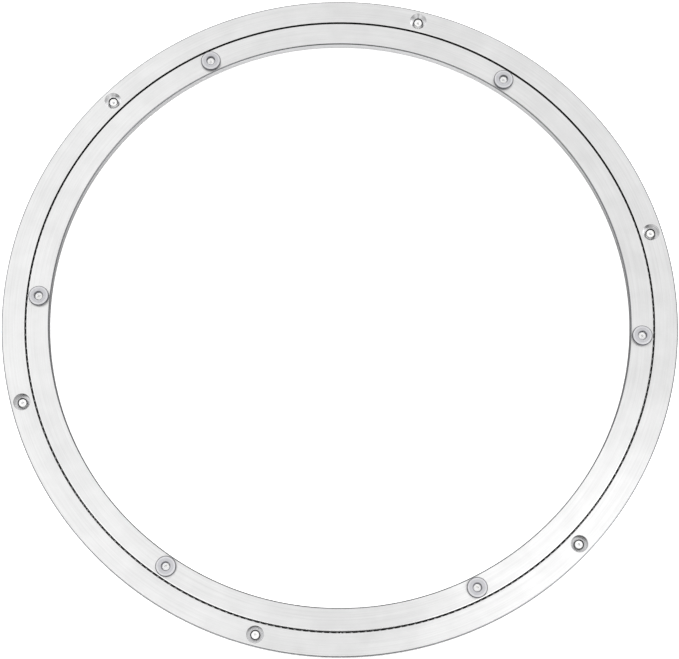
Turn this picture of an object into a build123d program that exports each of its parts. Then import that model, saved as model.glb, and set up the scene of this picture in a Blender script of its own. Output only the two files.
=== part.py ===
from build123d import *
import math
import os

# Lazy susan turntable bearing: two flat concentric rings that turn on one caged race of balls.
# The outer ring stands on six push-in feet. The inner ring carries six pads of the same
# moulding, on which a round table top rests, and they turn together.
# Millimetres, +Z up. The origin is on the axis of rotation, level with the feet's lower faces.

# Rings
outer_diameter = 500.0
bore_diameter = 430.0
ring_height = 8.5
ring_gap = 1.2  # width of the slot between the rings
edge_round = 0.8  # radius on the edges of the rings
slot_edge_round = 0.2  # except the outer ring's two edges at the slot, which are nearly sharp

# Ball race
race_diameter = 465.0  # circle through the balls' centres
ball_diameter = 4.0
groove_clearance = 0.2  # between a ball and the groove around it
group_count = 8  # the balls and their cage are made in this many equal groups
balls_in_group = 36

# Cage strips
cage_thickness = 0.9
cage_below = 2.6  # how far a strip reaches below the balls' centres
cage_above = 1.9  # and above them, which leaves each pocket a small mouth at its top
pocket_clearance = 0.1  # between a ball and its pocket
strip_gap_angle = 0.18  # degrees between one strip and the next

# Screw holes in the rings
hole_count = 6
hole_diameter = 7.0
countersink_diameter = 12.6
countersink_angle = 90.0  # degrees, from side to side
foot_circle = 483.0
pad_circle = 447.0
first_foot_angle = 15.35  # degrees
first_pad_angle = -4.1  # degrees, with the turntable at rest

# Feet and pads, which are one moulding
flange_diameter = 15.0
flange_height = 3.0
flange_round = 0.8
stem_diameter = 6.9
stem_length = 4.5
stem_chamfer = 0.5
recess_mouth_diameter = 6.4
recess_floor_diameter = 5.0
recess_depth = 2.4
pin_hole_diameter = 2.2

# Set screw that closes the hole through which the balls are loaded
plug_diameter = 5.0
plug_clearance = 0.02  # between the plug and its hole
plug_inset = 1.0  # below the outer ring's rim
plug_start_inset = 0.05  # its flat inner end stops just short of the ring's round wall
plug_chamfer = 0.4
socket_across_flats = 2.5
socket_depth = 2.5

# Places worked out from the above
ring_bottom = flange_height
ring_middle = ring_bottom + ring_height / 2
ring_top = ring_bottom + ring_height
race_radius = race_diameter / 2
groove_radius = ball_diameter / 2 + groove_clearance
group_angle = 360 / group_count
ball_pitch = group_angle / balls_in_group
hole_pitch = 360 / hole_count
plug_angle = first_foot_angle + 1.5 * hole_pitch  # midway between two screw holes


def ring_section(inside, outside, inside_round):
    """Half section of a ring: a bar with rounded edges and the ball groove in one wall."""
    with BuildSketch(Plane.XZ) as section:
        with Locations(((inside + outside) / 2, ring_middle)):
            Rectangle(outside - inside, ring_height)
        fillet(section.vertices().sort_by(Axis.X)[:2], radius=inside_round)
        fillet(section.vertices().sort_by(Axis.X)[-2:], radius=edge_round)
        with Locations((race_radius, ring_middle)):
            Circle(groove_radius, mode=Mode.SUBTRACT)
    return section.sketch


def write_piece(piece, label):
    """Label a finished piece and write it under that name."""
    piece.label = label
    export_step(piece, f"parts/{label}.step")


def write_copies(piece, label, circle, first_angle):
    """Write a ring's six copies of a piece that was made on the axis."""
    for number in range(hole_count):
        angle = first_angle + number * hole_pitch
        moved = piece.moved(Location((circle / 2, 0, 0))).rotate(Axis.Z, angle)
        write_piece(moved, f"{label}_{number + 1}")


def write_groups(piece, label):
    """Write the copies of one group of the race, turned from group to group."""
    for number in range(group_count):
        write_piece(piece.rotate(Axis.Z, number * group_angle), f"{label}_{number + 1}")


def outwards(angle):
    """Direction from the axis of rotation towards the rim, at an angle in degrees."""
    return Vector(math.cos(math.radians(angle)), math.sin(math.radians(angle)), 0)


# The filler hole runs along this axis, from the ring's centre out through the rim
plug_axis = Axis((0, 0, ring_middle), outwards(plug_angle))
plug_plane = Plane(origin=plug_axis.position, z_dir=plug_axis.direction)

# Outer ring: screw holes countersunk from above, and the filler hole from the rim to the groove
outer_inside = race_radius + ring_gap / 2
outer_section = ring_section(outer_inside, outer_diameter / 2, slot_edge_round)
with BuildPart() as outer_ring:
    revolve(outer_section, axis=Axis.Z)
    with Locations((0, 0, ring_top)):
        with PolarLocations(foot_circle / 2, hole_count, start_angle=first_foot_angle):
            CounterSinkHole(
                hole_diameter / 2,
                countersink_diameter / 2,
                counter_sink_angle=countersink_angle,
            )
    with BuildSketch(plug_plane.offset(race_radius)):
        Circle(plug_diameter / 2)
    extrude(amount=outer_diameter / 2, mode=Mode.SUBTRACT)  # well past the rim

# Inner ring: the same holes countersunk from below
inner_outside = race_radius - ring_gap / 2
inner_section = ring_section(bore_diameter / 2, inner_outside, edge_round)
with BuildPart() as inner_ring:
    revolve(inner_section, axis=Axis.Z)
    # half a turn about X looks at the ring from below, where an angle changes its sign
    with Locations(Location((0, 0, ring_bottom), (180, 0, 0))):
        with PolarLocations(pad_circle / 2, hole_count, start_angle=-first_pad_angle):
            CounterSinkHole(
                hole_diameter / 2,
                countersink_diameter / 2,
                counter_sink_angle=countersink_angle,
            )

# Filler plug: a set screw with a hexagon socket, whose inner end carries on the ball groove
plug_start = outer_inside + plug_start_inset
plug_end = outer_diameter / 2 - plug_inset
with BuildPart() as filler_plug:
    with BuildSketch(plug_plane.offset(plug_start)):
        Circle(plug_diameter / 2 - plug_clearance)
    extrude(amount=plug_end - plug_start)
    chamfer(filler_plug.edges().sort_by(plug_axis)[-1], length=plug_chamfer)
    with BuildSketch(plug_plane.offset(plug_end)):
        RegularPolygon(socket_across_flats / 2, side_count=6, major_radius=False)
    extrude(amount=-socket_depth, mode=Mode.SUBTRACT)
    with BuildSketch(Plane.XZ):
        with Locations((race_radius, ring_middle)):
            Circle(groove_radius)
    revolve(axis=Axis.Z, mode=Mode.SUBTRACT)

# Foot or pad, stem downwards, with the underside of its flange at z = 0
with BuildPart() as pad:
    Cylinder(
        flange_diameter / 2,
        flange_height,
        align=(Align.CENTER, Align.CENTER, Align.MIN),
    )
    fillet(pad.edges().sort_by(Axis.Z)[-1], radius=flange_round)
    with BuildSketch(Plane.XY):
        Circle(stem_diameter / 2)
    extrude(amount=-stem_length)
    chamfer(pad.edges().sort_by(Axis.Z)[0], length=stem_chamfer)
    with BuildSketch(Plane.XY.offset(flange_height)):
        Circle(recess_mouth_diameter / 2)
    with BuildSketch(Plane.XY.offset(flange_height - recess_depth)):
        Circle(recess_floor_diameter / 2)
    loft(mode=Mode.SUBTRACT)
    with Locations((0, 0, flange_height)):
        Hole(pin_hole_diameter / 2)

# One group of balls, from half a pitch after the group's start
with BuildPart() as race_balls:
    with Locations((0, 0, ring_middle)):
        with PolarLocations(
            race_radius,
            balls_in_group,
            start_angle=ball_pitch / 2,
            angular_range=group_angle,
        ):
            Sphere(ball_diameter / 2)

# One strip of the cage: a thin upright arc, with a round pocket through it for each ball.
# A pocket just breaks through the top edge, so its mouth is narrower than the ball it holds.
strip_height = cage_below + cage_above
strip_middle = ring_middle + (cage_above - cage_below) / 2
pocket_planes = []
for number in range(balls_in_group):
    out = outwards((number + 0.5) * ball_pitch - strip_gap_angle / 2)
    pocket_planes.append(Plane(origin=out * race_radius + Vector(0, 0, ring_middle), z_dir=out))
with BuildPart() as cage_strip:
    with BuildSketch(Plane.XZ):
        with Locations((race_radius, strip_middle)):
            Rectangle(cage_thickness, strip_height)
    revolve(axis=Axis.Z, revolution_arc=group_angle - strip_gap_angle)
    with BuildSketch(*pocket_planes):
        Circle(ball_diameter / 2 + pocket_clearance)
    extrude(amount=cage_thickness, both=True, mode=Mode.SUBTRACT)

# Write every piece, with the name of its node
os.makedirs("parts", exist_ok=True)
write_piece(outer_ring.part, "outer_ring")
write_piece(inner_ring.part, "inner_ring")
write_piece(filler_plug.part, "filler_plug")
top_pad = pad.part.moved(Location((0, 0, ring_top)))
foot = pad.part.rotate(Axis.X, 180).moved(Location((0, 0, ring_bottom)))
write_copies(top_pad, "top_pad", pad_circle, first_pad_angle)
write_copies(foot, "foot", foot_circle, first_foot_angle)
write_groups(race_balls.part, "race_balls")
write_groups(cage_strip.part.rotate(Axis.Z, strip_gap_angle / 2), "cage_strip")
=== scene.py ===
import math
import bmesh
import bpy
import numpy as np
from mathutils import Matrix, Vector


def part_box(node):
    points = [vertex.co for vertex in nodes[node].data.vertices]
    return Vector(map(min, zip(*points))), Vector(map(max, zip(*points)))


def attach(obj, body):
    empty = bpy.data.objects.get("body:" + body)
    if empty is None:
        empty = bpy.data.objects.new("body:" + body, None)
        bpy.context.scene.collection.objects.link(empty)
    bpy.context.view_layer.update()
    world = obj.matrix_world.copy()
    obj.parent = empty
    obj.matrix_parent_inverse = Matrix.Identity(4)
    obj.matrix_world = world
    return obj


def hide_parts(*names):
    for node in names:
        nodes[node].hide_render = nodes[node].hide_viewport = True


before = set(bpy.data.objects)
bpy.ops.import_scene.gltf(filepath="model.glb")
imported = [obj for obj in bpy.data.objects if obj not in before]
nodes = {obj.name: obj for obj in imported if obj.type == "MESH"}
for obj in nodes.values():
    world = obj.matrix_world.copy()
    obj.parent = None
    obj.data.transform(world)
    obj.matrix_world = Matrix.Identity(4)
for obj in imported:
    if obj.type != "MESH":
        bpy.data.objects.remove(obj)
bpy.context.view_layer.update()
mm = 0.001


def linearColor(hexColor):
    # sRGB hex to linear, by the sRGB curve
    channels = [int(hexColor[i:i + 2], 16) / 255 for i in (1, 3, 5)]
    return [c / 12.92 if c <= 0.04045 else ((c + 0.055) / 1.055) ** 2.4 for c in channels] + [1.0]


def addNode(tree, kind, settings=None, links=None):
    # adds one node; settings are sockets by name or number, or attributes; links are sockets it reads
    node = tree.nodes.new(kind)
    for key, value in (settings or {}).items():
        if isinstance(key, int) or key in node.inputs:
            node.inputs[key].default_value = value
        else:
            setattr(node, key, value)
    for key, source in (links or {}).items():
        tree.links.new(source, node.inputs[key])
    return node


def newMaterial(name):
    material = bpy.data.materials.new(name)
    material.use_nodes = True
    material.node_tree.nodes.clear()
    return material, material.node_tree


def closeMaterial(tree, shader):
    addNode(tree, "ShaderNodeOutputMaterial", links={"Surface": shader.outputs[0]})


def boxMiddle(name):
    low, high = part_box(name)
    return [(low[i] + high[i]) / 2 for i in range(3)]


# camera: above the near side, turned a little down towards it
cameraSettings = {
    "distance": 1.496,
    "elevation": 75.49,   # degrees above the rings' plane
    "lens": 107.26,       # mm
    "aimX": -0.0002,      # the view's middle lies this far to the right of the axis
    "aimY": -0.0102,      # and this far beyond it
    "roll": -0.236,       # degrees
    "sensorWidth": 36,    # mm
}

ringLow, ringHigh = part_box("outer_ring")
ringTop = ringHigh[2]
ringBottom = ringLow[2]
outerRadius = ringHigh[0]


def makeCamera(s):
    tilt = math.radians(s["elevation"])
    place = Vector((0, -s["distance"] * math.cos(tilt), ringTop + s["distance"] * math.sin(tilt)))
    aim = Vector((s["aimX"], s["aimY"], ringTop))
    data = bpy.data.cameras.new("camera")
    data.lens = s["lens"]
    data.sensor_width = s["sensorWidth"]
    camera = bpy.data.objects.new("camera", data)
    turn = (aim - place).to_track_quat("-Z", "Y").to_matrix()
    turn = turn @ Matrix.Rotation(math.radians(s["roll"]), 3, "Z")
    camera.matrix_world = Matrix.Translation(place) @ turn.to_4x4()
    bpy.context.scene.collection.objects.link(camera)
    bpy.context.scene.camera = camera


makeCamera(cameraSettings)
print("camera placed")


# stage: a white table, a soft white surround and four softboxes
stageSettings = {
    "tableSize": 3.0,
    "tableColor": "#FAFAFA",
    "tableGlow": 0.75,        # the camera sees this much light added, so the table is clean white
    "mirroredDark": "#9A9A9A",   # what the rings mirror of the table, at its darkest
    "mirroredLight": "#FFFFFF",  # and at its lightest
    "borderRadius": 0.23,     # the table inside this is what the bore mirrors
    "skyStrength": 0.91,
    "nearRoom": 0.02,         # the unlit room, low down behind the camera
    "farRoom": 0.45,          # and on the other sides
    "roomTop": 0.18,          # height of a direction, 0 level and 1 straight up, where the room ends
    "skyFoot": 0.40,          # and where the full sky begins
    "standHeight": 40.0,      # degrees above level, the middle of a dark camera stand on the near side
    "standSpread": 20.0,      # degrees from there to where it has faded away
    "standStrength": 0.10,
    # each softbox: degrees from +X, and watts
    "softboxes": {"keySoftbox": (-36, 6.3), "fillSoftbox": (-135, 3.0),
                  "sideSoftbox": (180, 0.8), "backSoftbox": (145, 0.9)},
    "boxSize": 1.2,
    "boxDistance": 1.7,
    "boxElevation": 50.0,
}


def makeTable(s):
    # white to the camera; the rings mirror it in greys of painted shade and light, which get lighter
    # towards the far side inside the bore, and towards the left outside it
    half = s["tableSize"] / 2
    mesh = bpy.data.meshes.new("table")
    corners = [(-half, -half, 0), (half, -half, 0), (half, half, 0), (-half, half, 0)]
    mesh.from_pydata(corners, [], [(0, 1, 2, 3)])
    material, tree = newMaterial("whiteTable")
    clean = addNode(tree, "ShaderNodeBsdfPrincipled", {
        "Base Color": linearColor(s["tableColor"]), "Roughness": 0.9, "Specular IOR Level": 0.1})
    glow = addNode(tree, "ShaderNodeEmission", {"Color": (1, 1, 1, 1), "Strength": s["tableGlow"]})
    bright = addNode(tree, "ShaderNodeAddShader", links={0: clean.outputs[0], 1: glow.outputs[0]})
    place = addNode(tree, "ShaderNodeTexCoord")
    split = addNode(tree, "ShaderNodeSeparateXYZ", links={0: place.outputs["Object"]})
    flat = addNode(tree, "ShaderNodeVectorMath", {"operation": "MULTIPLY", 1: (1, 1, 0)},
                   {0: place.outputs["Object"]})
    radius = addNode(tree, "ShaderNodeVectorMath", {"operation": "LENGTH"}, {0: flat.outputs[0]})
    outside = addNode(tree, "ShaderNodeMath", {"operation": "GREATER_THAN", 1: s["borderRadius"]},
                      {0: radius.outputs["Value"]})
    inner = addNode(tree, "ShaderNodeMapRange", {"From Min": -0.02, "From Max": 0.22, "To Min": 0.0},
                    {0: split.outputs["Y"]})
    slant = addNode(tree, "ShaderNodeMath", {"operation": "MULTIPLY_ADD", 1: 0.5},
                    {0: split.outputs["Y"], 2: split.outputs["X"]})
    outer = addNode(tree, "ShaderNodeMapRange", {"From Min": 0.25, "From Max": -0.15},
                    {0: slant.outputs[0]})
    side = addNode(tree, "ShaderNodeMix", {"data_type": "FLOAT"},
                   {0: outside.outputs[0], 2: inner.outputs[0], 3: outer.outputs[0]})
    grey = addNode(tree, "ShaderNodeMix", {
        "data_type": "RGBA", 6: linearColor(s["mirroredDark"]), 7: linearColor(s["mirroredLight"])},
        {0: side.outputs[0]})
    mirrored = addNode(tree, "ShaderNodeBsdfDiffuse", links={"Color": grey.outputs[2]})
    seen = addNode(tree, "ShaderNodeLightPath")
    mix = addNode(tree, "ShaderNodeMixShader", links={
        0: seen.outputs["Is Camera Ray"], 1: mirrored.outputs[0], 2: bright.outputs[0]})
    closeMaterial(tree, mix)
    mesh.materials.append(material)
    table = bpy.data.objects.new("table", mesh)
    bpy.context.scene.collection.objects.link(table)


def makeSurround(s):
    # a bright even sky over a dim room, darkest behind the camera; the camera sees plain white
    world = bpy.data.worlds.new("surround")
    bpy.context.scene.world = world
    world.use_nodes = True
    tree = world.node_tree
    tree.nodes.clear()
    direction = addNode(tree, "ShaderNodeTexCoord")
    split = addNode(tree, "ShaderNodeSeparateXYZ", links={0: direction.outputs["Generated"]})
    # the near room gives way to the far one between straight behind the camera and the two sides
    room = addNode(tree, "ShaderNodeMapRange", {
        "interpolation_type": "SMOOTHSTEP", "From Min": -0.75, "From Max": 0.0,
        "To Min": s["nearRoom"], "To Max": s["farRoom"]}, {0: split.outputs["Y"]})
    level = addNode(tree, "ShaderNodeMapRange", {
        "interpolation_type": "SMOOTHSTEP", "From Min": s["roomTop"], "From Max": s["skyFoot"],
        "To Max": s["skyStrength"]}, {0: split.outputs["Z"], "To Min": room.outputs[0]})
    height, spread = math.radians(s["standHeight"]), math.radians(s["standSpread"])
    towards = addNode(tree, "ShaderNodeVectorMath", {
        "operation": "DOT_PRODUCT", 1: (0, -math.cos(height), math.sin(height))},
        {0: direction.outputs["Generated"]})
    stand = addNode(tree, "ShaderNodeMapRange", {
        "interpolation_type": "SMOOTHSTEP", "From Min": math.cos(spread),
        "From Max": math.cos(spread / 2), "To Max": s["standStrength"]},
        {0: towards.outputs["Value"], "To Min": level.outputs[0]})
    lit = addNode(tree, "ShaderNodeBackground", {"Color": (1, 1, 1, 1)}, {"Strength": stand.outputs[0]})
    plain = addNode(tree, "ShaderNodeBackground", {"Color": (1, 1, 1, 1), "Strength": 1.0})
    seen = addNode(tree, "ShaderNodeLightPath")
    mix = addNode(tree, "ShaderNodeMixShader",
                  links={0: seen.outputs["Is Camera Ray"], 1: lit.outputs[0], 2: plain.outputs[0]})
    addNode(tree, "ShaderNodeOutputWorld", links={0: mix.outputs[0]})


def makeSoftbox(name, azimuth, power, s):
    # a square softbox that looks at the ring from a direction counted in degrees from +X
    data = bpy.data.lights.new(name, "AREA")
    data.energy = power
    data.size = s["boxSize"]
    light = bpy.data.objects.new(name, data)
    a, e = math.radians(azimuth), math.radians(s["boxElevation"])
    direction = Vector((math.cos(a) * math.cos(e), math.sin(a) * math.cos(e), math.sin(e)))
    place = direction * s["boxDistance"]
    turn = (-place).to_track_quat("-Z", "Y").to_matrix().to_4x4()
    light.matrix_world = Matrix.Translation(place) @ turn
    bpy.context.scene.collection.objects.link(light)


makeTable(stageSettings)
makeSurround(stageSettings)
for name, (azimuth, power) in stageSettings["softboxes"].items():
    makeSoftbox(name, azimuth, power, stageSettings)
bpy.context.scene.view_settings.view_transform = "Standard"
print("stage lit")


aluminiumSettings = {
    "color": "#F3F3F3",
    "roughness": 0.35,
    "anisotropy": 0.75,
    "grainWidth": 1.1,      # mm from one grain line to the next, ten times the real ones so they show
    "grainTurns": 3.0,      # how fast a grain line fades along the ring
    "shadeSpread": 0.10,    # how much darker the darkest grain lines are
    "glossSpread": 0.03,    # and how much their roughness differs, either way
    "cloudSize": 18.0,      # mm, blotches left by the hand that held the abrasive
    "cloudSpread": 0.06,
}


def addRound(tree, place):
    # directions at a point on a turned part: out from the axis, and along the cut
    flat = addNode(tree, "ShaderNodeVectorMath", {"operation": "MULTIPLY", 1: (1, 1, 0)},
                   {0: place.outputs["Object"]})
    out = addNode(tree, "ShaderNodeVectorMath", {"operation": "NORMALIZE"}, {0: flat.outputs[0]})
    along = addNode(tree, "ShaderNodeVectorMath", {"operation": "CROSS_PRODUCT", 0: (0, 0, 1)},
                    {1: out.outputs[0]})
    return flat, out, along


def brushedAluminium(s):
    # aluminium ring faced on a lathe with a fine abrasive, clear anodised: grain lines run round the
    # axis, so lights are drawn out into fans that cross the ring, and the tone changes round it
    material, tree = newMaterial("brushedAluminium")
    place = addNode(tree, "ShaderNodeTexCoord")
    geometry = addNode(tree, "ShaderNodeNewGeometry")
    flat, out, along = addRound(tree, place)
    across = addNode(tree, "ShaderNodeVectorMath", {"operation": "CROSS_PRODUCT"},
                     {0: along.outputs[0], 1: geometry.outputs["Normal"]})
    radius = addNode(tree, "ShaderNodeVectorMath", {"operation": "LENGTH"}, {0: flat.outputs[0]})
    # grain coordinates: direction from the axis times a slow rate, and the radius times a fast one
    rows = addNode(tree, "ShaderNodeMath", {"operation": "MULTIPLY", 1: 1 / (s["grainWidth"] * mm)},
                   {0: radius.outputs["Value"]})
    slow = addNode(tree, "ShaderNodeVectorMath", {"operation": "SCALE", "Scale": s["grainTurns"]},
                   {0: out.outputs[0]})
    slowSplit = addNode(tree, "ShaderNodeSeparateXYZ", links={0: slow.outputs[0]})
    grainPlace = addNode(tree, "ShaderNodeCombineXYZ",
                         links={0: slowSplit.outputs[0], 1: slowSplit.outputs[1], 2: rows.outputs[0]})
    grain = addNode(tree, "ShaderNodeTexNoise", {"Scale": 1.0, "Detail": 3.0, "Roughness": 0.7},
                    {"Vector": grainPlace.outputs[0]})
    cloud = addNode(tree, "ShaderNodeTexNoise", {"Scale": 1 / (s["cloudSize"] * mm), "Detail": 3.0},
                    {"Vector": place.outputs["Object"]})
    base = linearColor(s["color"])
    lines = addNode(tree, "ShaderNodeMapRange", {
        "From Min": 0.3, "From Max": 0.7, "To Min": 1 - s["shadeSpread"], "To Max": 1.0},
        {0: grain.outputs[0]})
    blotch = addNode(tree, "ShaderNodeMapRange", {
        "From Min": 0.35, "From Max": 0.65, "To Min": 1 - s["cloudSpread"], "To Max": 1.0},
        {0: cloud.outputs[0]})
    both = addNode(tree, "ShaderNodeMath", {"operation": "MULTIPLY"},
                   {0: lines.outputs[0], 1: blotch.outputs[0]})
    shade = addNode(tree, "ShaderNodeVectorMath", {"operation": "SCALE", 0: base[:3]},
                    {"Scale": both.outputs[0]})
    gloss = addNode(tree, "ShaderNodeMapRange", {
        "From Min": 0.3, "From Max": 0.7, "To Min": s["roughness"] - s["glossSpread"],
        "To Max": s["roughness"] + s["glossSpread"]}, {0: grain.outputs[0]})
    bump = addNode(tree, "ShaderNodeBump", {"Strength": 0.25, "Distance": 0.00002},
                   {"Height": grain.outputs[0]})
    metal = addNode(tree, "ShaderNodeBsdfPrincipled",
                    {"Metallic": 1.0, "Anisotropic": s["anisotropy"]},
                    {"Base Color": shade.outputs[0], "Roughness": gloss.outputs[0],
                     "Normal": bump.outputs[0], "Tangent": across.outputs[0]})
    closeMaterial(tree, metal)
    return material


# bare lathe cuts: their lines are lineWidth mm apart, drawn coarser than the real ones so they
# show, and the darkest of them are darker by contrast
turnedSettings = {
    "burnishedEdge": {"color": "#FFFFFF", "roughness": 0.4, "metallic": 0.45,
                      "lineWidth": 0.4, "contrast": 0.18},
    "slotEdgeAluminium": {"color": "#F6F6F6", "roughness": 0.15, "metallic": 1.0,
                          "lineWidth": 0.4, "contrast": 0.18},
    # painted shade: the rim and bore edges are coloured a darker grey than bare aluminium, for the dark
    # lines along those edges
    "rimEdgeAluminium": {"color": "#97989A", "roughness": 0.15, "metallic": 1.0,
                         "lineWidth": 0.4, "contrast": 0.18},
    "boreEdgeAluminium": {"color": "#88898B", "roughness": 0.2, "metallic": 1.0,
                          "lineWidth": 0.4, "contrast": 0.18},
    "turnedAluminium": {"color": "#F0F0F1", "roughness": 0.3, "metallic": 1.0,
                        "lineWidth": 0.7, "contrast": 0.18},
    "countersunkAluminium": {"color": "#FAFAFB", "roughness": 0.2, "metallic": 1.0,
                             "lineWidth": 0.35, "contrast": 0.35},
}


def turnedAluminium(name):
    # a bare lathe cut, smoother than the brushed faces: fine lines follow the tool round, so the
    # reflection breaks into thin bands of light and dark at different heights
    s = turnedSettings[name]
    material, tree = newMaterial(name)
    place = addNode(tree, "ShaderNodeTexCoord")
    slow = addNode(tree, "ShaderNodeVectorMath", {
        "operation": "MULTIPLY", 1: (20, 20, 1 / (s["lineWidth"] * mm))}, {0: place.outputs["Object"]})
    lines = addNode(tree, "ShaderNodeTexNoise", {"Scale": 1.0, "Detail": 3.0},
                    {"Vector": slow.outputs[0]})
    base = linearColor(s["color"])
    tone = addNode(tree, "ShaderNodeMapRange", {
        "From Min": 0.3, "From Max": 0.7, "To Min": 1 - s["contrast"], "To Max": 1.0},
        {0: lines.outputs[0]})
    shade = addNode(tree, "ShaderNodeVectorMath", {"operation": "SCALE", 0: base[:3]},
                    {"Scale": tone.outputs[0]})
    bump = addNode(tree, "ShaderNodeBump", {"Strength": 0.2, "Distance": 0.00001},
                   {"Height": lines.outputs[0]})
    metal = addNode(tree, "ShaderNodeBsdfPrincipled",
                    {"Metallic": s["metallic"], "Roughness": s["roughness"]},
                    {"Base Color": shade.outputs[0], "Normal": bump.outputs[0]})
    closeMaterial(tree, metal)
    return material


shadowedHoleSettings = {
    "dark": "#030303",
    "light": "#111112",
    "ringWidth": 0.4,  # mm between the drill's rings
}


def drilledAluminium(s):
    # the neck of a hole behind a stem and the loading hole: painted shade, drilled metal coloured black
    # since no light reaches it, with faint drill rings
    material, tree = newMaterial("drilledAluminium")
    place = addNode(tree, "ShaderNodeTexCoord")
    slow = addNode(tree, "ShaderNodeVectorMath", {
        "operation": "MULTIPLY", 1: (40, 40, 1 / (s["ringWidth"] * mm))}, {0: place.outputs["Object"]})
    rings = addNode(tree, "ShaderNodeTexNoise", {"Scale": 1.0, "Detail": 2.0},
                    {"Vector": slow.outputs[0]})
    shade = addNode(tree, "ShaderNodeMix", {
        "data_type": "RGBA", 6: linearColor(s["dark"]), 7: linearColor(s["light"])},
        {0: rings.outputs[0]})
    metal = addNode(tree, "ShaderNodeBsdfPrincipled", {"Roughness": 0.7, "Specular IOR Level": 0.1},
                    {"Base Color": shade.outputs[2]})
    closeMaterial(tree, metal)
    return material


raceSettings = {
    "dark": "#050505",
    "light": "#131312",
    "smearSize": 3.3,  # mm
    "greaseIor": 1.48,
}


def shadedRace(s):
    # the race walls deep in the slot: painted shade, coloured almost black, with a greasy sheen in
    # places
    material, tree = newMaterial("greasedAluminium")
    place = addNode(tree, "ShaderNodeTexCoord")
    smear = addNode(tree, "ShaderNodeTexNoise", {"Scale": 1 / (s["smearSize"] * mm), "Detail": 3.0},
                    {"Vector": place.outputs["Object"]})
    shade = addNode(tree, "ShaderNodeMix", {
        "data_type": "RGBA", 6: linearColor(s["dark"]), 7: linearColor(s["light"])},
        {0: smear.outputs[0]})
    gloss = addNode(tree, "ShaderNodeMapRange", {"To Min": 0.5, "To Max": 0.75},
                    {0: smear.outputs[0]})
    grease = addNode(tree, "ShaderNodeBsdfPrincipled", {"IOR": s["greaseIor"]},
                     {"Base Color": shade.outputs[2], "Roughness": gloss.outputs[0]})
    closeMaterial(tree, grease)
    return material


pvcSettings = {
    "color": "#CBCBCF",
    "thinColor": "#FFFFFF",   # painted light: the recess floor, the pin hole and the stem's end are coloured white, for light coming through from below
    "edgeColor": "#55555B",   # painted shade: a rounded rim or a side bends light away, so it is coloured darker
    "sideDark": "#040404",    # the sides of a stem, in its hole
    "sideLight": "#131314",
    # painted light: the same places glow this much
    "thinGlow": 0.12,
    "roughness": 0.2,
    "ior": 1.53,
    "hazeSize": 3.125,        # mm, clouds in the plastic
    "hazeDepth": 0.82,        # how bright they are beside the rest
    "gritSize": 0.625,        # mm, coarser than the mould's real texture so it shows
    "scuffSize": 1.1,         # mm
}


def shadedPvc(s):
    # the side of a stem, pressed tight in its hole: no light comes back out of it, so it looks black
    material, tree = newMaterial("shadedPvc")
    place = addNode(tree, "ShaderNodeTexCoord")
    scuff = addNode(tree, "ShaderNodeTexNoise", {"Scale": 1 / (s["scuffSize"] * mm), "Detail": 2.0},
                    {"Vector": place.outputs["Object"]})
    shade = addNode(tree, "ShaderNodeMix", {
        "data_type": "RGBA", 6: linearColor(s["sideDark"]), 7: linearColor(s["sideLight"])},
        {0: scuff.outputs[0]})
    plastic = addNode(tree, "ShaderNodeBsdfPrincipled", {"Roughness": 0.6, "Specular IOR Level": 0.1},
                      {"Base Color": shade.outputs[2]})
    closeMaterial(tree, plastic)
    return material


def translucentPvc(s):
    # soft clear PVC bumper, injection moulded: hazy grey with a faint lavender cast and a waxy gloss,
    # with painted light where it is thin and painted shade round its edges
    material, tree = newMaterial("translucentPvc")
    place = addNode(tree, "ShaderNodeTexCoord")
    thin = addNode(tree, "ShaderNodeAttribute", {"attribute_name": "thinness"})
    edge = addNode(tree, "ShaderNodeAttribute", {"attribute_name": "edge"})
    haze = addNode(tree, "ShaderNodeTexNoise", {"Scale": 1 / (s["hazeSize"] * mm), "Detail": 3.0},
                   {"Vector": place.outputs["Object"]})
    body = linearColor(s["color"])
    cloudy = [c * s["hazeDepth"] for c in body[:3]] + [1]
    mass = addNode(tree, "ShaderNodeMix", {"data_type": "RGBA", 6: cloudy, 7: body},
                   {0: haze.outputs[0]})
    rim = addNode(tree, "ShaderNodeMix", {"data_type": "RGBA", 7: linearColor(s["edgeColor"])},
                  {0: edge.outputs["Fac"], 6: mass.outputs[2]})
    shade = addNode(tree, "ShaderNodeMix", {"data_type": "RGBA", 7: linearColor(s["thinColor"])},
                    {0: thin.outputs["Fac"], 6: rim.outputs[2]})
    grit = addNode(tree, "ShaderNodeTexNoise", {"Scale": 1 / (s["gritSize"] * mm), "Detail": 2.0},
                   {"Vector": place.outputs["Object"]})
    bump = addNode(tree, "ShaderNodeBump", {"Strength": 0.1, "Distance": 0.00003},
                   {"Height": grit.outputs[0]})
    # painted light: these places glow a little, standing in for the light that comes through from the
    # white table below
    glow = addNode(tree, "ShaderNodeMath", {"operation": "MULTIPLY", 1: s["thinGlow"]},
                   {0: thin.outputs["Fac"]})
    plastic = addNode(tree, "ShaderNodeBsdfPrincipled", {
        "Roughness": s["roughness"], "IOR": s["ior"], "Subsurface Weight": 0.25,
        "Subsurface Radius": (0.0012, 0.0012, 0.0013), "Subsurface Scale": 1.0,
        "Emission Color": (1, 1, 1, 1)},
        {"Base Color": shade.outputs[2], "Normal": bump.outputs[0],
         "Emission Strength": glow.outputs[0]})
    closeMaterial(tree, plastic)
    return material


nylonSettings = {
    "dark": "#060606",
    "light": "#0E0E0F",
    "roughness": 0.55,
    "ior": 1.53,
    "gritSize": 0.4,  # mm, coarser than the mould's real texture so it shows
}


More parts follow.
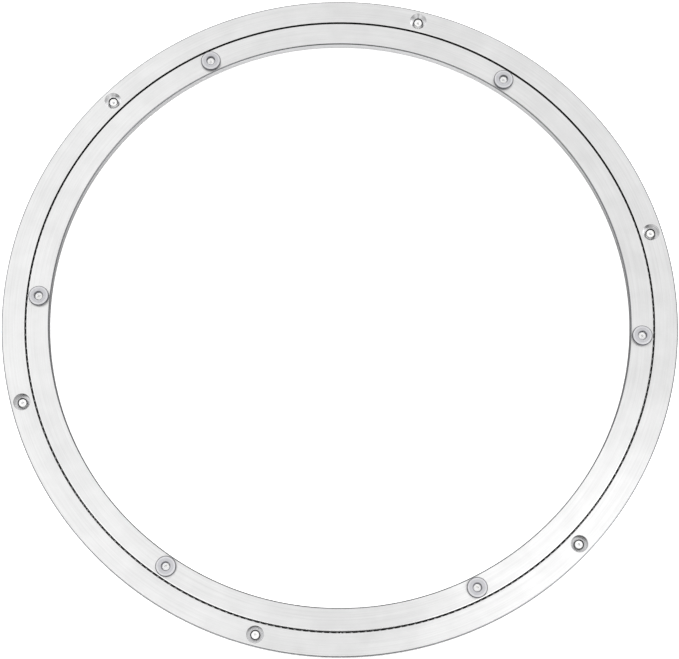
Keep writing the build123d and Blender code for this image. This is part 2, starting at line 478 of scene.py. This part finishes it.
def blackNylon(s):
    # nylon ball cage, injection moulded: matt black with a faint moulded texture
    material, tree = newMaterial("blackNylon")
    place = addNode(tree, "ShaderNodeTexCoord")
    grit = addNode(tree, "ShaderNodeTexNoise", {"Scale": 1 / (s["gritSize"] * mm), "Detail": 2.0},
                   {"Vector": place.outputs["Object"]})
    shade = addNode(tree, "ShaderNodeMix", {
        "data_type": "RGBA", 6: linearColor(s["dark"]), 7: linearColor(s["light"])},
        {0: grit.outputs[0]})
    bump = addNode(tree, "ShaderNodeBump", {"Strength": 0.2, "Distance": 0.00003},
                   {"Height": grit.outputs[0]})
    plastic = addNode(tree, "ShaderNodeBsdfPrincipled", {"Roughness": s["roughness"], "IOR": s["ior"]},
                      {"Base Color": shade.outputs[2], "Normal": bump.outputs[0]})
    closeMaterial(tree, plastic)
    return material


steelSettings = {
    "ballColor": "#A8A9AA",
    "ballRoughness": (0.10, 0.2),  # where the oil is thinnest, and where it is thickest
    "filmSize": 2.0,               # mm, patches of oil
    "screwDark": "#1C1C1E",
    "screwLight": "#3A3A3D",
    "wearSize": 1.1,               # mm
}


def bearingSteel(s):
    # hardened chrome steel balls, ground and polished: a clean mirror with a thin film of oil
    material, tree = newMaterial("bearingSteel")
    place = addNode(tree, "ShaderNodeTexCoord")
    film = addNode(tree, "ShaderNodeTexNoise", {"Scale": 1 / (s["filmSize"] * mm), "Detail": 1.0},
                   {"Vector": place.outputs["Object"]})
    thin, thick = s["ballRoughness"]
    gloss = addNode(tree, "ShaderNodeMapRange", {"To Min": thin, "To Max": thick},
                    {0: film.outputs[0]})
    metal = addNode(tree, "ShaderNodeBsdfPrincipled",
                    {"Base Color": linearColor(s["ballColor"]), "Metallic": 1.0},
                    {"Roughness": gloss.outputs[0]})
    closeMaterial(tree, metal)
    return material


def blackOxideSteel(s):
    # set screw, black oxide finish: dark grey metal with a soft oily sheen and rubbed edges
    material, tree = newMaterial("blackOxideSteel")
    place = addNode(tree, "ShaderNodeTexCoord")
    wear = addNode(tree, "ShaderNodeTexNoise", {"Scale": 1 / (s["wearSize"] * mm), "Detail": 4.0},
                   {"Vector": place.outputs["Object"]})
    shade = addNode(tree, "ShaderNodeMix", {
        "data_type": "RGBA", 6: linearColor(s["screwDark"]), 7: linearColor(s["screwLight"])},
        {0: wear.outputs[0]})
    metal = addNode(tree, "ShaderNodeBsdfPrincipled", {"Metallic": 0.9, "Roughness": 0.42},
                    {"Base Color": shade.outputs[2]})
    closeMaterial(tree, metal)
    return material


aluminium = brushedAluminium(aluminiumSettings)
baseSlotEdge = turnedAluminium("burnishedEdge")
topSlotEdge = turnedAluminium("slotEdgeAluminium")
rimEdge = turnedAluminium("rimEdgeAluminium")
boreEdge = turnedAluminium("boreEdgeAluminium")
sideWall = turnedAluminium("turnedAluminium")
coneWall = turnedAluminium("countersunkAluminium")
neckWall = drilledAluminium(shadowedHoleSettings)
raceWall = shadedRace(raceSettings)
pvc = translucentPvc(pvcSettings)
stemPvc = shadedPvc(pvcSettings)
nylon = blackNylon(nylonSettings)
ballSteel = bearingSteel(steelSettings)
screwSteel = blackOxideSteel(steelSettings)
print("materials made")


def gridFaces(rows, columns, closedRows=False):
    # quads of a grid of points whose columns close on themselves, and its rows too if asked
    across = np.arange(columns)
    down = np.arange(rows if closedRows else rows - 1)
    i, j = np.meshgrid(down, across, indexing="ij")
    below, beside = (i + 1) % rows, (j + 1) % columns
    quads = [i * columns + j, i * columns + beside, below * columns + beside, below * columns + j]
    return np.stack(quads, -1).reshape(-1, 4)


def turnedPoints(profile, count, firstAngle=0.0):
    # a profile of (radius, height) carried round the Z axis: (r cos a, r sin a, z)
    angles = firstAngle + np.arange(count) * 2 * np.pi / count
    radius, height = np.asarray(profile, float).T[:, :, None]
    x = radius * np.cos(angles)
    y = radius * np.sin(angles)
    z = height + 0 * angles
    return np.stack([x, y, z], -1)


def arcPoints(middleR, middleZ, radius, startDegrees, endDegrees, count):
    # points of an arc in the (radius, height) plane
    angles = np.radians(np.linspace(startDegrees, endDegrees, count))
    return [(middleR + radius * math.cos(a), middleZ + radius * math.sin(a)) for a in angles]


def meshPiece(name, points, faces, materials, zones=None, sharpAngle=30.0):
    # an object at the origin from points and quads, closed, smooth but for its sharp edges;
    # zones gives each row of quads the number of its material
    mesh = bpy.data.meshes.new(name)
    mesh.from_pydata(points.reshape(-1, 3).tolist(), [], faces.tolist())
    for material in materials:
        mesh.materials.append(material)
    if zones is not None:
        mesh.polygons.foreach_set("material_index", np.repeat(zones, len(faces) // len(zones)))
    edit = bmesh.new()
    edit.from_mesh(mesh)
    bmesh.ops.remove_doubles(edit, verts=edit.verts, dist=1e-7)
    bmesh.ops.recalc_face_normals(edit, faces=edit.faces)
    edit.to_mesh(mesh)
    edit.free()
    mesh.shade_smooth()
    mesh.set_sharp_from_angle(angle=math.radians(sharpAngle))
    piece = bpy.data.objects.new(name, mesh)
    bpy.context.scene.collection.objects.link(piece)
    return piece


def cutOut(piece, cutters, sharpAngle=30.0):
    # takes each cutter out of the piece and removes the cutter
    for cutter in cutters:
        cut = piece.modifiers.new("cut", "BOOLEAN")
        cut.operation = "DIFFERENCE"
        cut.solver = "EXACT"
        cut.material_mode = "TRANSFER"
        cut.object = cutter
    graph = bpy.context.evaluated_depsgraph_get()
    finished = bpy.data.meshes.new_from_object(piece.evaluated_get(graph))
    piece.modifiers.clear()
    piece.data = finished
    for cutter in cutters:
        bpy.data.objects.remove(cutter)
    finished.shade_smooth()
    finished.set_sharp_from_angle(angle=math.radians(sharpAngle))


ringSettings = {
    "steps": 900,            # points round a ring
    "raceRadius": 232.5 * mm,
    "slotWidth": 1.2 * mm,
    "bore": 215.0 * mm,
    "edgeRound": 0.8 * mm,
    "slotEdgeRound": 0.2 * mm,  # on the outer ring, at the slot
    "cornerSteps": 6,
    "flatMargin": 0.1 * mm,     # a point this far from a corner keeps the flat beside it flat
    "grooveRadius": 2.2 * mm,
    "grooveSteps": 16,
    "holeRadius": 3.5 * mm,
    "sinkRadius": 6.3 * mm,
    "holeSteps": 64,
    "fillerRadius": 2.5 * mm,
}
raceHeight = (ringTop + ringBottom) / 2


def ringProfile(inside, outside, grooveOutside, s):
    # section of a ring, from the race wall's top edge down the race and round to where it began, and
    # the number of the material between each point and the next: 0 face, 1 slot edge, 2 race,
    # 3 far edge, 4 far wall
    e, g = s["edgeRound"], s["grooveRadius"]
    t = e if grooveOutside else s["slotEdgeRound"]
    race, far = (outside, inside) if grooveOutside else (inside, outside)
    side = 1 if grooveOutside else -1

    def corner(wall, radius, out, height, up, start, end):
        # a rounded corner, and a point just before or after it that keeps the flat beside it flat
        middle = wall - out * side * radius
        angles = (start, end) if side > 0 else (180 - start, 180 - end)
        arc = arcPoints(middle, height - up * radius, radius, *angles, s["cornerSteps"] + 1)
        flat = (middle - out * side * s["flatMargin"], height)
        return [flat, *arc] if abs(start) == 90 else [*arc, flat]

    half = math.degrees(math.acos(abs(race - s["raceRadius"]) / g))
    start, end = (180 - half, 180 + half) if grooveOutside else (half, -half)
    groove = arcPoints(s["raceRadius"], raceHeight, g, start, end, s["grooveSteps"] + 1)
    points = [*corner(race, t, 1, ringTop, 1, 90, 0),
              *groove,
              *corner(race, t, 1, ringBottom, -1, 0, -90),
              *corner(far, e, -1, ringBottom, -1, -90, -180),
              *corner(far, e, -1, ringTop, 1, 180, 90)]
    bend = s["cornerSteps"]
    zones = [0] + [1] * bend + [2] * (len(groove) + 1) + [1] * bend + [0, 0]
    zones += [0] + [3] * bend + [4] + [3] * bend + [0, 0]
    return points, zones


def holeCutter(name, middle, sinkUp, s):
    # a countersunk hole's shape: a 45 degree cone that meets a straight hole, past both faces
    over = 1 * mm
    slope = s["sinkRadius"] - s["holeRadius"]
    mouth, back = (ringTop, ringBottom) if sinkUp else (ringBottom, ringTop)
    out = 1 if sinkUp else -1
    profile = [(0, mouth + out * over), (s["sinkRadius"] + over, mouth + out * over),
               (s["holeRadius"], mouth - out * slope), (s["holeRadius"], back - out * over),
               (0, back - out * over)]
    points = turnedPoints(profile, s["holeSteps"])
    points = points + np.array([middle[0], middle[1], 0])
    faces = gridFaces(len(profile), s["holeSteps"])
    return meshPiece(name, points, faces, [coneWall, neckWall], [0, 0, 1, 1])


def fillerCutter(s):
    # the loading hole's shape: a straight hole along the set screw's axis, from the race out
    x, y, z = boxMiddle("filler_plug")
    angle = math.atan2(y, x)
    start, end = s["raceRadius"], outerRadius + 1 * mm
    profile = [(0, start), (s["fillerRadius"], start), (s["fillerRadius"], end), (0, end)]
    points = turnedPoints(profile, s["holeSteps"])
    # the tube's own Z becomes the direction out through the rim
    turn = np.array([[-math.sin(angle), 0, math.cos(angle)],
                     [math.cos(angle), 0, math.sin(angle)],
                     [0, 1, 0]])
    points = points @ turn.T + np.array([0, 0, z])
    return meshPiece("fillerCutter", points, gridFaces(len(profile), s["holeSteps"]), [neckWall])


def makeRing(name, node, body, inside, outside, holders, sinkUp, extraCutters, edges, s):
    profile, zones = ringProfile(inside, outside, not sinkUp, s)
    points = turnedPoints(profile, s["steps"])
    faces = gridFaces(len(profile), s["steps"], closedRows=True)
    ring = meshPiece(name, points, faces, [aluminium, edges[0], raceWall, edges[1], sideWall], zones)
    cutters = [holeCutter("cutter" + holder, boxMiddle(holder), sinkUp, s) for holder in holders]
    cutOut(ring, cutters + extraCutters)
    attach(ring, body)
    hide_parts(node)
    return ring


feet = sorted(n for n in nodes if n.startswith("foot_"))
topPads = sorted(n for n in nodes if n.startswith("top_pad_"))
raceRadius = ringSettings["raceRadius"]
halfSlot = ringSettings["slotWidth"] / 2
makeRing("outerRing", "outer_ring", "base", raceRadius + halfSlot, outerRadius, feet, True,
         [fillerCutter(ringSettings)], (baseSlotEdge, rimEdge), ringSettings)
makeRing("innerRing", "inner_ring", "turntable", ringSettings["bore"], raceRadius - halfSlot,
         topPads, False, [], (topSlotEdge, boreEdge), ringSettings)
print("rings turned and drilled")


padSettings = {
    "steps": 64,
    "flangeRadius": 7.5 * mm,
    "flangeHeight": 3.0 * mm,
    "rimRound": 0.8 * mm,
    "rimStart": 78,           # degrees, where the rim's arc takes over from the bevel
    "rimSteps": 8,
    "bevelStart": 5.6 * mm,   # the top falls away from here to its rim
    "crown": 0.35 * mm,       # by this much
    "bevelThinness": 0.22,
    "stemRadius": 3.45 * mm,
    "stemLength": 4.5 * mm,
    "stemChamfer": 0.6 * mm,
    "mouthRadius": 3.2 * mm,
    "mouthRound": 0.25 * mm,
    "mouthStart": 170,        # degrees, where the leaning wall meets the lip
    "mouthSteps": 4,
    "footRound": 0.15 * mm,   # where the flange meets the ring
    "floorRadius": 2.5 * mm,
    "recessDepth": 2.4 * mm,
    "pinRadius": 1.1 * mm,
    "sharpAngle": 40.0,       # degrees
    "lipEdge": 0.6,           # how dark the painted shade on the lip of the recess is, against the rim
}


def padProfile(s):
    # section of the moulding, stem down, from the pin hole's top over the flange to the stem's end
    h, r, w = s["flangeHeight"], s["flangeRadius"], s["rimRound"]
    floor = h - s["recessDepth"]
    m = s["mouthRound"]
    rim = arcPoints(r - w, h - w - s["crown"], w, s["rimStart"], 0, s["rimSteps"] + 1)
    mouth = arcPoints(s["mouthRadius"] + m, h - m, m, s["mouthStart"], 90, s["mouthSteps"] + 1)
    stem = s["stemRadius"]
    top = [(s["pinRadius"], floor), (s["floorRadius"], floor),
           (s["floorRadius"] + m / 2, floor + m), *mouth,
           (s["mouthRadius"] + 2 * m, h), (s["bevelStart"], h),
           (s["bevelStart"] + m, h - m / 8), *rim,
           (r, s["footRound"]), (r - s["footRound"], 0)]
    below = [(stem, 0), (stem, s["stemChamfer"] - s["stemLength"]),
             (stem - s["stemChamfer"], -s["stemLength"]), (s["pinRadius"], -s["stemLength"])]
    return top + below, [0] * len(top) + [1, 1, 0, 0]


def makePad(node, body, up, s):
    # a pad on a ring's top face, or turned over under its bottom face
    x, y, _ = boxMiddle(node)
    profile, zones = padProfile(s)
    points = turnedPoints(profile, s["steps"])
    faces = gridFaces(len(profile), s["steps"], closedRows=True)
    face = ringTop if up else ringBottom
    if not up:
        points = points * np.array([1, -1, -1])
    middle = np.array([x, y, face])
    piece = meshPiece(node.replace("_", ""), points + middle, faces, [pvc, stemPvc], zones,
                      s["sharpAngle"])
    places = np.empty(len(piece.data.vertices) * 3)
    piece.data.vertices.foreach_get("co", places)
    places = places.reshape(-1, 3) - middle
    radius = np.hypot(places[:, 0], places[:, 1])
    height = places[:, 2] if up else -places[:, 2]
    floor = s["flangeHeight"] - s["recessDepth"]
    small = 0.01 * mm
    # painted light is 1 on the recess floor, down the pin hole and at the stem's end
    thin = (radius < s["floorRadius"] + small) & (height < floor + small)
    thin |= (height < small - s["stemLength"])
    # painted shade is 1 round the rim, the sides and the recess wall, and 0 on the broad top
    edge = (radius > s["flangeRadius"] - 0.75 * s["rimRound"]) | (height < -small)
    edge |= (radius < s["mouthRadius"] + small) & (height > floor + small)
    # the lip of the recess has lighter painted shade, and the bevel towards the rim a faint band of
    # painted light
    lip = (radius < s["mouthRadius"] + 1.2 * s["mouthRound"]) & (height > floor + small)
    bevelHighlight = (radius > s["bevelStart"] + small) & (height > small)
    thinness = np.where(thin, 1.0, np.where(bevelHighlight & ~edge, s["bevelThinness"], 0.0))
    paintedShadeLevel = np.where(thin, 0.0, np.where(edge, 1.0, np.where(lip, s["lipEdge"], 0.0)))
    for label, value in (("thinness", thinness), ("edge", paintedShadeLevel)):
        layer = piece.data.attributes.new(label, "FLOAT", "POINT")
        layer.data.foreach_set("value", value.astype(np.float32))
    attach(piece, body)
    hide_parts(node)


for node in topPads:
    makePad(node, "turntable", True, padSettings)
for node in feet:
    makePad(node, "base", False, padSettings)
print("pads moulded")


ballSettings = {
    "radius": 2.0 * mm,
    "around": 12,
    "rings": 6,
    "perGroup": 36,
}


def makeBalls(node, s):
    # one group of spheres: (r sin u cos v, r sin u sin v, r cos u) at equal angles round the race
    x, y, z = boxMiddle(node)
    groupMiddle = math.atan2(y, x)
    pitch = 2 * math.pi / (s["perGroup"] * len(ballNodes))
    angles = groupMiddle + (np.arange(s["perGroup"]) - (s["perGroup"] - 1) / 2) * pitch
    u = np.linspace(0, np.pi, s["rings"] + 1)
    sphere = turnedPoints(np.stack([np.sin(u), np.cos(u)], -1) * s["radius"], s["around"])
    race = ringSettings["raceRadius"]
    centres = np.stack([race * np.cos(angles), race * np.sin(angles), z + 0 * angles], -1)
    points = centres[:, None, None, :] + sphere[None]
    one = gridFaces(s["rings"] + 1, s["around"])
    firstPoints = np.arange(s["perGroup"])[:, None, None] * sphere.shape[0] * sphere.shape[1]
    faces = (firstPoints + one).reshape(-1, 4)
    piece = meshPiece("balls" + node.rsplit("_", 1)[1], points, faces, [ballSteel],
                      sharpAngle=180.0)
    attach(piece, "ball_train")
    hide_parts(node)


ballNodes = sorted(n for n in nodes if n.startswith("race_balls_"))
for node in ballNodes:
    makeBalls(node, ballSettings)
# the cage strips and the set screw show as the frame gives them, with a material each
for name, node in nodes.items():
    if name.startswith("cage_strip_"):
        node.data.materials.clear()
        node.data.materials.append(nylon)
nodes["filler_plug"].data.materials.clear()
nodes["filler_plug"].data.materials.append(screwSteel)
print("race filled")
